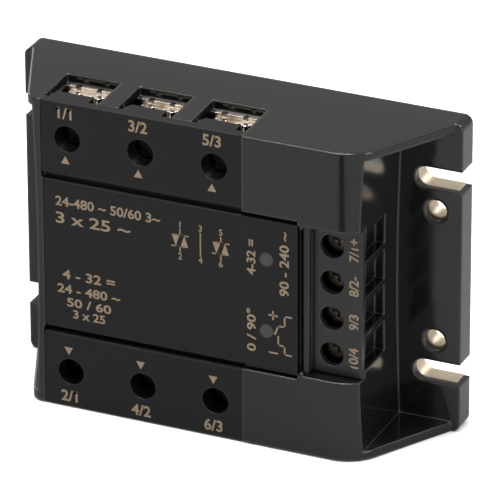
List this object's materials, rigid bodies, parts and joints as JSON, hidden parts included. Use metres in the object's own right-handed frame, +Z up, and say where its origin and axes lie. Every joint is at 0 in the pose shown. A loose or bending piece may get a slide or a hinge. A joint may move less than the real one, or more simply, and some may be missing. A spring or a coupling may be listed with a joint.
{
  "type": "solid state relay",
  "caption": "Panel-mount three-phase solid state relay: black housing with mounting flanges, flip covers over clamp terminals, and a metal base plate.",
  "frame": {"origin": "middle of the base plate's back face, which sits on the heat sink or panel", "axes": "+X along the body towards the control terminals, +Y out of the back towards the heat sink, +Z up towards the line terminals"},
  "size_m": [0.11, 0.031, 0.0782],
  "materials": {
    "housing_plastic": "glossy black moulded plastic",
    "panel_plastic": "matt black, finely textured",
    "base_plate_aluminium": "milled",
    "tinned_brass": "dull plated",
    "clamp_steel": "plated, warm",
    "plated_steel": "zinc plated",
    "lens_plastic": "smoked, clear gloss",
    "green_led": "clear moulding",
    "red_led": "clear moulding",
    "circuit_board": "solder mask",
    "ceramic": "fired ceramic",
    "silicon": "polished",
    "film_capacitor": "dipped",
    "resistor_body": "lacquered",
    "varistor_disc": "dipped",
    "capacitor_sleeve": "shrink sleeve",
    "thermal_switch_body": "plated case",
    "black_component": "moulded"
  },
  "bodies": {
    "relay_body": {"housing": "housing_plastic", "base_plate": "base_plate_aluminium", "base_plate_screws": "plated_steel", "front_panel": "panel_plastic", "indicator_panel": "panel_plastic", "input_lens": "lens_plastic", "alarm_lens": "lens_plastic", "input_led": "green_led", "alarm_led": "red_led", "line_busbar_1": "tinned_brass", "line_busbar_3": "tinned_brass", "load_busbar_1": "tinned_brass", "load_busbar_3": "tinned_brass", "through_busbar_2": "tinned_brass", "power_nuts": "plated_steel", "control_terminal_plates": "clamp_steel", "control_board": "circuit_board", "board_screws": "plated_steel", "ceramic_substrates": "ceramic", "thyristor_chips": "silicon", "gate_pins": "tinned_brass", "optocouplers": "black_component", "snubber_capacitors": "film_capacitor", "snubber_resistors": "resistor_body", "varistors": "varistor_disc", "bridge_rectifier": "black_component", "smoothing_capacitor": "capacitor_sleeve", "current_regulator": "black_component", "thermal_switch": "thermal_switch_body"},
    "line_cover": {"line_terminal_cover": "panel_plastic"},
    "line_clamp_1": {"line_clamp_1": "clamp_steel"},
    "line_screw_1": {"line_screw_1": "plated_steel"},
    "line_clamp_2": {"line_clamp_2": "clamp_steel"},
    "line_screw_2": {"line_screw_2": "plated_steel"},
    "line_clamp_3": {"line_clamp_3": "clamp_steel"},
    "line_screw_3": {"line_screw_3": "plated_steel"},
    "load_cover": {"load_terminal_cover": "panel_plastic"},
    "load_clamp_1": {"load_clamp_1": "clamp_steel"},
    "load_screw_1": {"load_screw_1": "plated_steel"},
    "load_clamp_2": {"load_clamp_2": "clamp_steel"},
    "load_screw_2": {"load_screw_2": "plated_steel"},
    "load_clamp_3": {"load_clamp_3": "clamp_steel"},
    "load_screw_3": {"load_screw_3": "plated_steel"},
    "control_cover": {"control_terminal_cover": "panel_plastic"},
    "control_clamp_1": {"control_clamp_1": "clamp_steel"},
    "control_screw_1": {"control_screw_1": "plated_steel"},
    "control_clamp_2": {"control_clamp_2": "clamp_steel"},
    "control_screw_2": {"control_screw_2": "plated_steel"},
    "control_clamp_3": {"control_clamp_3": "clamp_steel"},
    "control_screw_3": {"control_screw_3": "plated_steel"},
    "control_clamp_4": {"control_clamp_4": "clamp_steel"},
    "control_screw_4": {"control_screw_4": "plated_steel"}
  },
  "joints": [
    {"name": "line_cover_hinge", "type": "hinge", "parent": "relay_body", "child": "line_cover", "pos_m": [-0.0142, -0.0297, 0.0212], "axis": [1, 0, 0], "range_deg": [0, 110]},
    {"name": "load_cover_hinge", "type": "hinge", "parent": "relay_body", "child": "load_cover", "pos_m": [-0.0142, -0.0297, -0.0212], "axis": [-1, 0, 0], "range_deg": [0, 110]},
    {"name": "control_cover_hinge", "type": "hinge", "parent": "relay_body", "child": "control_cover", "pos_m": [0.0263, -0.0289, 0], "axis": [0, 0, -1], "range_deg": [0, 110]},
    {"name": "line_clamp_1_lift", "type": "slide", "parent": "relay_body", "child": "line_clamp_1", "axis": [0, -1, 0], "range_m": [0, 0.0032]},
    {"name": "line_clamp_2_lift", "type": "slide", "parent": "relay_body", "child": "line_clamp_2", "axis": [0, -1, 0], "range_m": [0, 0.0032]},
    {"name": "line_clamp_3_lift", "type": "slide", "parent": "relay_body", "child": "line_clamp_3", "axis": [0, -1, 0], "range_m": [0, 0.0032]},
    {"name": "load_clamp_1_lift", "type": "slide", "parent": "relay_body", "child": "load_clamp_1", "axis": [0, -1, 0], "range_m": [0, 0.0032]},
    {"name": "load_clamp_2_lift", "type": "slide", "parent": "relay_body", "child": "load_clamp_2", "axis": [0, -1, 0], "range_m": [0, 0.0032]},
    {"name": "load_clamp_3_lift", "type": "slide", "parent": "relay_body", "child": "load_clamp_3", "axis": [0, -1, 0], "range_m": [0, 0.0032]},
    {"name": "control_clamp_1_lift", "type": "slide", "parent": "relay_body", "child": "control_clamp_1", "axis": [0, -1, 0], "range_m": [0, 0.0024]},
    {"name": "control_clamp_2_lift", "type": "slide", "parent": "relay_body", "child": "control_clamp_2", "axis": [0, -1, 0], "range_m": [0, 0.0024]},
    {"name": "control_clamp_3_lift", "type": "slide", "parent": "relay_body", "child": "control_clamp_3", "axis": [0, -1, 0], "range_m": [0, 0.0024]},
    {"name": "control_clamp_4_lift", "type": "slide", "parent": "relay_body", "child": "control_clamp_4", "axis": [0, -1, 0], "range_m": [0, 0.0024]},
    {"name": "line_screw_1_turn", "type": "hinge", "parent": "line_clamp_1", "child": "line_screw_1", "pos_m": [-0.0326, -0.0199, 0.0298], "axis": [0, 1, 0], "range_deg": [0, 1440]},
    {"name": "line_screw_2_turn", "type": "hinge", "parent": "line_clamp_2", "child": "line_screw_2", "pos_m": [-0.0142, -0.0199, 0.0298], "axis": [0, 1, 0], "range_deg": [0, 1440]},
    {"name": "line_screw_3_turn", "type": "hinge", "parent": "line_clamp_3", "child": "line_screw_3", "pos_m": [0.0042, -0.0199, 0.0298], "axis": [0, 1, 0], "range_deg": [0, 1440]},
    {"name": "load_screw_1_turn", "type": "hinge", "parent": "load_clamp_1", "child": "load_screw_1", "pos_m": [-0.0326, -0.0199, -0.0298], "axis": [0, 1, 0], "range_deg": [0, 1440]},
    {"name": "load_screw_2_turn", "type": "hinge", "parent": "load_clamp_2", "child": "load_screw_2", "pos_m": [-0.0142, -0.0199, -0.0298], "axis": [0, 1, 0], "range_deg": [0, 1440]},
    {"name": "load_screw_3_turn", "type": "hinge", "parent": "load_clamp_3", "child": "load_screw_3", "pos_m": [0.0042, -0.0199, -0.0298], "axis": [0, 1, 0], "range_deg": [0, 1440]},
    {"name": "control_screw_1_turn", "type": "hinge", "parent": "control_clamp_1", "child": "control_screw_1", "pos_m": [0.0319, -0.0211, 0.01365], "axis": [0, 1, 0], "range_deg": [0, 1440]},
    {"name": "control_screw_2_turn", "type": "hinge", "parent": "control_clamp_2", "child": "control_screw_2", "pos_m": [0.0319, -0.0211, 0.00455], "axis": [0, 1, 0], "range_deg": [0, 1440]},
    {"name": "control_screw_3_turn", "type": "hinge", "parent": "control_clamp_3", "child": "control_screw_3", "pos_m": [0.0319, -0.0211, -0.00455], "axis": [0, 1, 0], "range_deg": [0, 1440]},
    {"name": "control_screw_4_turn", "type": "hinge", "parent": "control_clamp_4", "child": "control_screw_4", "pos_m": [0.0319, -0.0211, -0.01365], "axis": [0, 1, 0], "range_deg": [0, 1440]}
  ],
  "couplings": [
    {"joint": "line_screw_1_turn", "follows": "line_clamp_1_lift", "rad_per_m": 7854},
    {"joint": "line_screw_2_turn", "follows": "line_clamp_2_lift", "rad_per_m": 7854},
    {"joint": "line_screw_3_turn", "follows": "line_clamp_3_lift", "rad_per_m": 7854},
    {"joint": "load_screw_1_turn", "follows": "load_clamp_1_lift", "rad_per_m": 7854},
    {"joint": "load_screw_2_turn", "follows": "load_clamp_2_lift", "rad_per_m": 7854},
    {"joint": "load_screw_3_turn", "follows": "load_clamp_3_lift", "rad_per_m": 7854},
    {"joint": "control_screw_1_turn", "follows": "control_clamp_1_lift", "rad_per_m": 10472},
    {"joint": "control_screw_2_turn", "follows": "control_clamp_2_lift", "rad_per_m": 10472},
    {"joint": "control_screw_3_turn", "follows": "control_clamp_3_lift", "rad_per_m": 10472},
    {"joint": "control_screw_4_turn", "follows": "control_clamp_4_lift", "rad_per_m": 10472}
  ]
}
